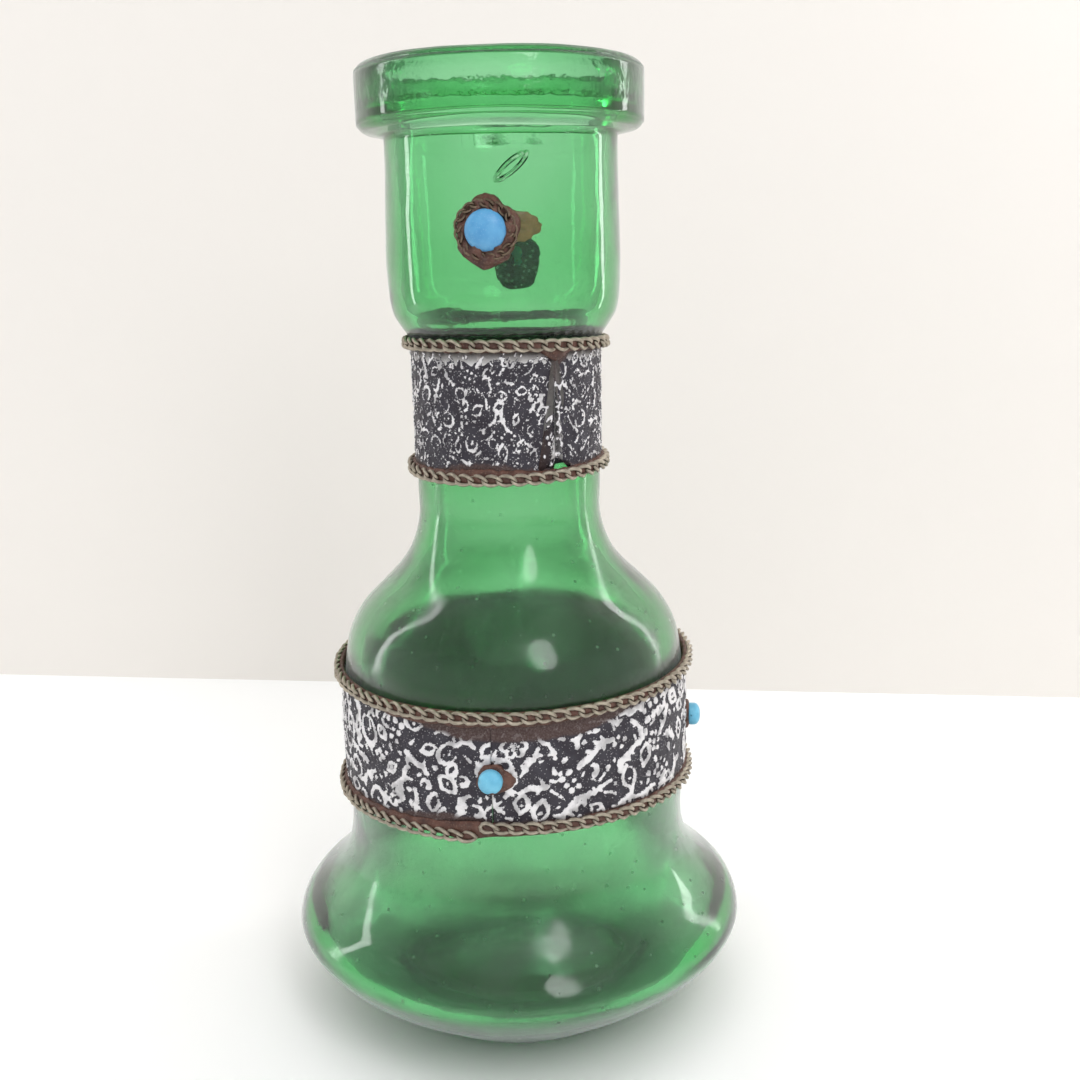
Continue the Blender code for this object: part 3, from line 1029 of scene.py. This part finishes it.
# %% Sheet material
def sheet_material():
    material, tree = new_material("embossed_sheet")
    depth, film, bare = [
        add_node(tree, "Attribute", {"attribute_name": name}).outputs["Fac"]
        for name in ("relief", "film", "bare")
    ]
    ragged = noise_on(tree, 2600.0, 3.0)
    wear = use_group(tree, mottle, Size=300.0, Contrast=0.22)
    lifted = plus(tree, depth, map_range(tree, ragged, 0.3, 0.7, -0.10, 0.10))
    bright = map_range(tree, lifted, -0.03, 0.07)
    bright = times(tree, bright, map_range(tree, wear, 0.0, 0.7, 0.55, 1.0))
    stipple = use_group(tree, speckle, Size=1900.0, Share=0.30)
    stipple = times(tree, stipple, map_range(tree, ragged, 0.45, 0.62, 0.0, 0.5))
    bright = math_node(tree, "MAXIMUM", bright, stipple)
    ground = blend_colours(tree, wear, paint(0.026, 0.021, 0.030), paint(0.044, 0.040, 0.052))
    colour = blend_colours(tree, bright, ground, paint(0.84, 0.82, 0.83))
    dark_glue, pale_glue = paint(0.060, 0.030, 0.026), paint(0.105, 0.070, 0.062)
    glue = blend_colours(tree, map_range(tree, ragged, 0.35, 0.65), dark_glue, pale_glue)
    colour = blend_colours(tree, times(tree, film, 0.92), colour, glue)
    dull = blend_colours(tree, wear, paint(0.80, 0.78, 0.76), paint(0.97, 0.96, 0.95))
    colour = blend_colours(tree, bare, colour, dull)
    metal = map_range(tree, bright, 0.0, 1.0, 0.25, 0.45)
    metal = times(tree, metal, math_node(tree, "SUBTRACT", 1.0, bare))
    rough = map_range(tree, bright, 0.0, 1.0, 0.55, 0.42)
    return solid_surface(material, colour, rough, plus(tree, stipple, ragged), 0.6, 0.00012, metal)


embossed_finish = sheet_material()
finish_piece(neck_strip, "neck_strip", embossed_finish, ["neck_band"])
finish_piece(bell_strip, "bell_strip", embossed_finish, ["bell_band"])

# %% [markdown]
# ## Flat curb chain
#
# Each link is an oval of wire given a bit more than a quarter twist, so that neighbours lie flat on each
# other. One link is modelled, then copied round. A ring with a chain-like bump would have no gaps and no
# shadow under it.

# %% One link
WIRE_RADIUS = 0.42 * MM
LINK_HALF_LENGTH = 1.95 * MM
LINK_HALF_WIDTH = 1.05 * MM
LINK_TWIST = math.radians(115)


def make_link():
    deselect()
    bpy.ops.curve.primitive_bezier_circle_add(radius=LINK_HALF_LENGTH)
    link = bpy.context.object
    link.data.dimensions = "3D"
    link.data.resolution_u = 3
    link.data.bevel_depth = WIRE_RADIUS
    link.data.bevel_resolution = 1
    bpy.ops.object.mode_set(mode="EDIT")
    bpy.ops.curve.select_all(action="SELECT")
    bpy.ops.transform.resize(value=(1, LINK_HALF_WIDTH / LINK_HALF_LENGTH, 1))
    bpy.ops.object.mode_set(mode="OBJECT")
    bpy.ops.object.convert(target="MESH")
    apply_modifier(link, "SIMPLE_DEFORM", deform_method="TWIST", deform_axis="X", angle=LINK_TWIST)
    return link


link = make_link()
print(f"one link: {len(link.data.polygons)} faces, {link.dimensions.x / MM:.1f} mm long")

# %% [markdown]
# A copy is turned by three axes: along the path, away from the glass, and across both. Then each is tilted a
# little at random. An array along a curve would be quicker, but its links would all lie alike.

# %% Lay a chain along a path
def lay_chain(path, count, closed, seed_number, size=1.0):
    """Copies the link along a path. path(share) gives a place and the direction away from the glass."""
    draw = np.random.default_rng(seed_number)
    copies = []
    for number in range(count):
        share = number / count if closed else (number + 0.5) / count
        place, out = path(share)
        ahead = path(share + 0.002)[0] - path(share - 0.002)[0]
        along = (ahead - out * ahead.dot(out)).normalized()
        lie = Matrix((along, out.cross(along), out)).transposed().to_4x4()
        roll = Matrix.Rotation(draw.normal(0, 0.09), 4, "X")
        wobble = roll @ Matrix.Rotation(draw.normal(0, 0.05), 4, "Z")
        copy = bpy.data.objects.new("link", link.data.copy())
        bpy.context.scene.collection.objects.link(copy)
        copy.matrix_world = Matrix.Translation(place) @ lie @ wobble @ Matrix.Scale(size, 4)
        copies.append(copy)
    deselect()
    for copy in copies:
        copy.select_set(True)
    bpy.context.view_layer.objects.active = copies[0]
    bpy.ops.object.join()
    return bpy.context.object


def ring_path(ring, start, end, rise=lambda share: 0.0):
    """The path of a chain round the glass between two bearings. rise(share) lifts it, in metres."""

    def path(share):
        bearing = start + (end - start) * share
        out = Vector((math.cos(bearing), math.sin(bearing), 0))
        return out * ring.radius + Vector((0, 0, ring.height_at(bearing) + rise(share))), out

    return path

# %% [markdown]
# Old chain is brown in its hollows and pale where it was rubbed. Ambient occlusion finds the hollows. The
# chain round the stones is the same, but hardly rubbed, so it has a browner colour of its own.

# %% Chain material
def chain_material(name, worn):
    """Tarnished wire: brown in every hollow, and the worn colour where it was rubbed."""
    material, tree = new_material(name)
    tarnish = use_group(tree, mottle, Size=700.0, Contrast=0.3)
    grain = noise_on(tree, 5000.0, 2.0)
    grime = add_node(tree, "AmbientOcclusion", Distance=0.0008).outputs["AO"]
    rubbed = map_range(tree, tarnish, 0.0, 1.0, 0.6, 1.0)
    clean = times(tree, map_range(tree, grime, 0.25, 0.85), rubbed)
    colour = blend_colours(tree, clean, paint(0.055, 0.035, 0.025), worn)
    rough = map_range(tree, clean, 0.0, 1.0, 0.7, 0.42)
    return solid_surface(material, colour, rough, grain, 0.4, 0.0001, 0.7)


chain_finish = chain_material("aged_chain", paint(0.50, 0.44, 0.35))
bezel_finish = chain_material("brown_chain", paint(0.20, 0.145, 0.10))

# %% [markdown]
# Three chains go all the way round. The lowest was cut a little short, and its ends miss each other at the
# front: one lies above and the other below. A plan is a name, a count of links, two bearings and the miss.

# %% Lay the four chains
chain_plans = {
    "neck_chain_upper": ("neck_top_chain", 46, -42, 318, 0.0),
    "neck_chain_lower": ("neck_bottom_chain", 45, 60, 420, 0.0),
    "bell_chain_upper": ("bell_top_chain", 85, 100, 460, 0.0),
    "bell_chain_lower": ("bell_bottom_chain", 84, -93, 264.5, 0.0011),
}
for number, (node, (name, count, start, end, miss)) in enumerate(chain_plans.items()):
    path = ring_path(
        chain_rings[node],
        math.radians(start),
        math.radians(end),
        rise=lambda share, miss=miss: miss * ((1 - share) ** 8 - share**8),
    )
    chain = lay_chain(path, count, closed=miss == 0.0, seed_number=number)
    finish_piece(chain, name, chain_finish, [node])

# %% [markdown]
# ## Resin
#
# The glue was run on by hand and is anything but even. Each bead starts as a ring of round section, and its
# points are then moved so that it swells and thins along its length, with lumps where the real bead has
# them.

# %% Resin material
def resin_material():
    material, tree = new_material("brown_resin")
    cloud = use_group(tree, mottle, Size=420.0, Contrast=0.25)
    crumbs = use_group(tree, speckle, Size=1700.0, Share=0.3)
    colour = blend_colours(tree, cloud, paint(0.050, 0.020, 0.014), paint(0.135, 0.060, 0.042))
    colour = blend_colours(tree, times(tree, crumbs, 0.22), colour, paint(0.30, 0.20, 0.15))
    lumps = noise_on(tree, 1400.0, 4.0)
    return solid_surface(material, colour, map_range(tree, lumps, 0.3, 0.7, 0.42, 0.75), lumps, 0.7, 0.0003)


resin_finish = resin_material()

# %% [markdown]
# The bead fills the links from behind and swells out beside them. Where the real one has a lump or a drip,
# its plan gives the bearing, the spread and the size of it.

# %% Run a bead along a chain
def wander(x, y, z, seed_number):
    """Smooth noise between about -1 and 1."""
    return noise.noise(Vector((x, y, z + 17.3 * seed_number)))


def lay_bead(ring, side, thin, lumps, drips, seed_number):
    """Resin that fills the links of a chain from behind and swells out beside it.

    side is 1 for a bead above the chain and -1 below. lumps, on that side, and drips, on the other one, are
    lists of (bearing in degrees, spread in degrees, size in millimetres).
    """
    deselect()
    bpy.ops.mesh.primitive_torus_add(
        major_radius=ring.radius, minor_radius=MM, major_segments=420, minor_segments=16
    )
    bead = bpy.context.object
    places = points_of(bead)
    bearing = np.arctan2(places[:, 1], places[:, 0])
    degrees = np.degrees(bearing)
    out = (np.hypot(places[:, 0], places[:, 1]) - ring.radius) / MM
    up = places[:, 2] * side / MM
    level = np.full(len(places), seed_number * 9.7)
    swell = thin + 0.4 * cloud(22 * np.cos(bearing), 22 * np.sin(bearing), level)
    for centre, spread, size in lumps:
        swell += size * near(degrees, centre, spread)
    swell = np.maximum(swell, 0.1)
    drip = sum(size * near(degrees, centre, spread) for centre, spread, size in drips) + 0.0 * swell
    start, end = -1.15 - drip, HALF_CHAIN - 0.2 + 1.1 * swell
    reach = start + (end - start) * (up + 1) / 2
    middle = ring.height_at(bearing)
    height = middle + side * reach * MM
    wall = wall_at(height) + 0.25 * MM
    beside = smooth(reach, HALF_CHAIN - 0.6, HALF_CHAIN + 0.1) + smooth(-reach, 1.0, 1.5)
    behind = ring.radius - 0.10 * MM - wall
    thickness = behind * (1 - beside) + (0.35 + 0.75 * (swell + drip)) * MM * beside
    rough = cloud(places[:, 0] * 900, places[:, 1] * 900, places[:, 2] * 900 + seed_number)
    radius = wall + (out + 1) / 2 * (thickness + 0.30 * MM * rough)
    move_points(bead, np.column_stack([radius * np.cos(bearing), radius * np.sin(bearing), height]))
    return bead


bead_plans = {
    "neck_top_bead": ("neck_resin_upper", "neck_chain_upper", -1, 0.15, [(-54, 6, 1.8)], []),
    "neck_bottom_bead": ("neck_resin_lower", "neck_chain_lower", 1, 0.15, [(-98, 22, 0.8)], []),
    "bell_top_bead": (
        "bell_resin_upper", "bell_chain_upper", -1, 0.35, [(-88, 30, 0.5), (-120, 12, 0.5)], []
    ),
    "bell_bottom_bead": ("bell_resin_lower", "bell_chain_lower", 1, 0.2, [(-97, 7, 0.8)], [(-99, 6, 0.9)]),
}
for number, (name, (node, chain_name, side, thin, lumps, drips)) in enumerate(bead_plans.items()):
    bead = lay_bead(chain_rings[chain_name], side, thin, lumps, drips, number)
    finish_piece(bead, name, resin_finish, [node])

# %% [markdown]
# ## Stones on their beds
#
# A cabochon is cut flat behind and domed in front, so it is turned like the glass, from half of its
# section. The bed is a blob pressed against the curve of the glass: a sphere flattened, drawn out to one
# side and bent round.

# %% Where each stone sits
def stone_place(name):
    """Bearing, height, radius of the back, half width and rise of a stone's node."""
    low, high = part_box(name)
    middle = (low + high) / 2
    bearing = math.atan2(round(middle.y, 4), round(middle.x, 4))
    reach = [abs(corner.x) if abs(middle.x) > abs(middle.y) else abs(corner.y) for corner in (low, high)]
    return bearing, middle.z, min(reach), (high.z - low.z) / 2, max(reach) - min(reach)


def stand_out(piece, bearing, radius, height):
    """Turns a piece modelled on +Z to face away from the glass and puts it in place."""
    piece.rotation_euler = (0, math.radians(90), bearing)
    piece.location = (radius * math.cos(bearing), radius * math.sin(bearing), height)


def make_stone(half_width, rise, sink, chips):
    """A cabochon, a little deeper at the back so that it is bedded in. chips are (x, y, size) in mm."""
    girdle = rise * 0.22
    outline = [(0, -sink), (half_width * 0.96, -sink), (half_width, -sink * 0.7)]
    for step in range(7):
        turn = math.radians(90 * step / 7)
        outline.append((half_width * math.cos(turn) ** 0.9, girdle + (rise - girdle) * math.sin(turn)))
    outline.append((0, rise))
    stone = turn_outline(outline, steps=32)
    soften(stone)
    places = points_of(stone)
    for x, y, size in chips:
        apart = np.hypot(places[:, 0] / MM - x, places[:, 1] / MM - y)
        places[:, 2] -= 0.8 * MM * np.exp(-((apart / size) ** 2)) * (places[:, 2] > 0)
    move_points(stone, places)
    return stone

# %% [markdown]
# These are plain blue stones, cloudy and scratched. The two on the cup are darker than those on the bell, so
# one function takes both colours. A fine bump breaks up the gloss.

# %% Stone material
def stone_material(name, deep, pale):
    material, tree = new_material(name)
    cloud = use_group(tree, mottle, Size=500.0, Contrast=0.3)
    flecks = use_group(tree, speckle, Size=2600.0, Share=0.2)
    colour = blend_colours(tree, cloud, deep, pale)
    colour = blend_colours(tree, times(tree, flecks, 0.25), colour, paint(0.55, 0.72, 0.85))
    scratch = noise_on(tree, 2500.0, 3.0)
    rough = map_range(tree, scratch, 0.3, 0.7, 0.28, 0.5)
    return solid_surface(material, colour, rough, scratch, 0.25, 0.0001)


cup_stone_finish = stone_material("sky_blue_stone", paint(0.075, 0.29, 0.56), paint(0.12, 0.375, 0.64))
bell_stone_finish = stone_material("turquoise_stone", paint(0.12, 0.43, 0.63), paint(0.19, 0.56, 0.76))

# %% [markdown]
# A bed is worked out point by point from a sphere: its outline is made ragged and its top flat, and the
# whole is bent round the glass. Sculpting would give one bed, and this gives one for every stone.

# %% Bed of resin
def drum_at(height):
    """Radius of what a bed lies on: the bare cup, or the sheet metal of the bell."""
    on_cup = height > chain_rings["neck_chain_upper"].height
    return float(wall_at(height)) + (0.0 if on_cup else SHEET_THICKNESS * MM)


def lay_bed(bearing, height, size, point, thickness, seed_number, ragged=0.16, lumpy=0.25):
    """A blob of resin pressed on the curve of the glass, with a flat top and lumps.

    size is its half width and half height, and point is how far a tip runs past the half width.
    """
    deselect()
    bpy.ops.mesh.primitive_uv_sphere_add(segments=72, ring_count=36, radius=1)
    bed = bpy.context.object
    places = points_of(bed)
    for number, (x, y, z) in enumerate(places):
        turn = math.atan2(y, x)
        spread = 1 + ragged * wander(1.7 * math.cos(turn), 1.7 * math.sin(turn), 3, seed_number)
        spread += 0.4 * ragged * wander(5 * math.cos(turn), 5 * math.sin(turn), 3, seed_number)
        reach = size[0] + point * max(0.0, math.cos(turn)) ** 5
        across, up = spread * reach * x, spread * size[1] * y
        lump = wander(across * 420, up * 420, 0, seed_number)
        lump += 0.6 * wander(across * 1100, up * 1100, 0, seed_number)
        swell = thickness * (math.copysign(abs(z) ** 0.4, z) if z > 0 else -0.15) * (1 + lumpy * lump)
        radius = drum_at(height + up) + swell
        turned = bearing + across / radius
        places[number] = (radius * math.cos(turned), radius * math.sin(turned), height + up)
    move_points(bed, places)
    return bed

# %% [markdown]
# Beside the front stone the resin was wiped out thin. The smear is one more bed with hardly any height, in
# a colour between the brown of the resin and the green behind it.

# %% Smear material
def smear_material():
    """Resin so thin that the green glass comes through it as olive."""
    material, tree = new_material("thin_resin")
    clouds = use_group(tree, mottle, Size=600.0, Contrast=0.3)
    grains = use_group(tree, speckle, Size=2200.0, Share=0.3)
    colour = blend_colours(tree, clouds, paint(0.075, 0.075, 0.020), paint(0.15, 0.12, 0.035))
    colour = blend_colours(tree, times(tree, grains, 0.4), colour, paint(0.16, 0.07, 0.035))
    return solid_surface(material, colour, 0.4, noise_on(tree, 1600.0, 3.0), 0.5, 0.0002)

# %% [markdown]
# Two large stones sit on the cup, one in front and one behind. Round each lies a ring of smaller chain, set
# in the same bed.

# %% Stones of the cup
def bezel_path(bearing, height, radius, drum):
    """The path of a chain laid round a stone: a slight oval, as it was pushed round by hand."""

    def path(share):
        turn = math.tau * share
        wide = radius * (1 + 0.05 * math.cos(2 * turn + 0.8))
        turned = bearing + wide * math.cos(turn) / drum
        out = Vector((math.cos(turned), math.sin(turned), 0))
        return out * drum + Vector((0, 0, height + wide * math.sin(turn))), out

    return path


BEZEL_RADIUS = 5.4 * MM
CUP_BED = (6.3 * MM, 7.1 * MM)
SMEAR = (5.6 * MM, 3.4 * MM)
for number, side in enumerate(("front", "back")):
    bearing, height, back, half_width, rise = stone_place(f"cup_stone_{side}")
    stone = make_stone(half_width, rise, sink=1.4 * MM, chips=[])
    stand_out(stone, bearing, back - 0.3 * MM, height)
    finish_piece(stone, f"cup_cabochon_{side}", cup_stone_finish, [f"cup_stone_{side}"])
    path = bezel_path(bearing, height, BEZEL_RADIUS, wall_at(height) + 1.75 * MM)
    bezel = lay_chain(path, 17, closed=True, seed_number=40 + number, size=0.68)
    finish_piece(bezel, f"cup_bezel_{side}", bezel_finish, [f"cup_bezel_chain_{side}"])
    bed = lay_bed(bearing, height - 0.2 * MM, CUP_BED, 0.8 * MM, 2.1 * MM, 50 + number, lumpy=0.7)
    finish_piece(bed, f"cup_bed_{side}", resin_finish, [f"cup_resin_{side}"])

bearing, height, back, half_width, rise = stone_place("cup_stone_front")
smear = lay_bed(bearing + 0.17, height + 0.6 * MM, SMEAR, 1.2 * MM, 0.35 * MM, 71, ragged=0.3)
finish_piece(smear, "cup_smear", smear_material(), [])

# %% [markdown]
# Three small stones sit on the lower strip, each on a plain bed with a chip out of its edge and top.

# %% Stones of the bell
for number, side in enumerate(("front", "right", "back")):
    bearing, height, back, half_width, rise = stone_place(f"band_stone_{side}")
    stone = make_stone(half_width, rise, sink=1.0 * MM, chips=[(2.5, 0.3, 0.55), (-0.5, -2.5, 0.35)])
    stand_out(stone, bearing, back - 0.1 * MM, height)
    finish_piece(stone, f"bell_cabochon_{side}", bell_stone_finish, [f"band_stone_{side}"])
    bed = lay_bed(bearing + 0.008, height, (3.3 * MM, 3.3 * MM), 1.7 * MM, 1.15 * MM, 60 + number)
    finish_piece(bed, f"bell_bed_{side}", resin_finish, [f"band_resin_{side}"])

# %% [markdown]
# ## Clearing up
#
# The link that was copied is no longer needed. The boxes of the frame and of the finished model are printed.

# %% Clear up and print the sizes
bpy.data.objects.remove(link)
sizes = {
    "frame_box": [list(corner) for corner in cad_box],
    "visual_box": [list(corner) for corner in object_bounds()],
}
for name, box in sizes.items():
    print(name, [[round(side / MM, 1) for side in corner] for corner in box])
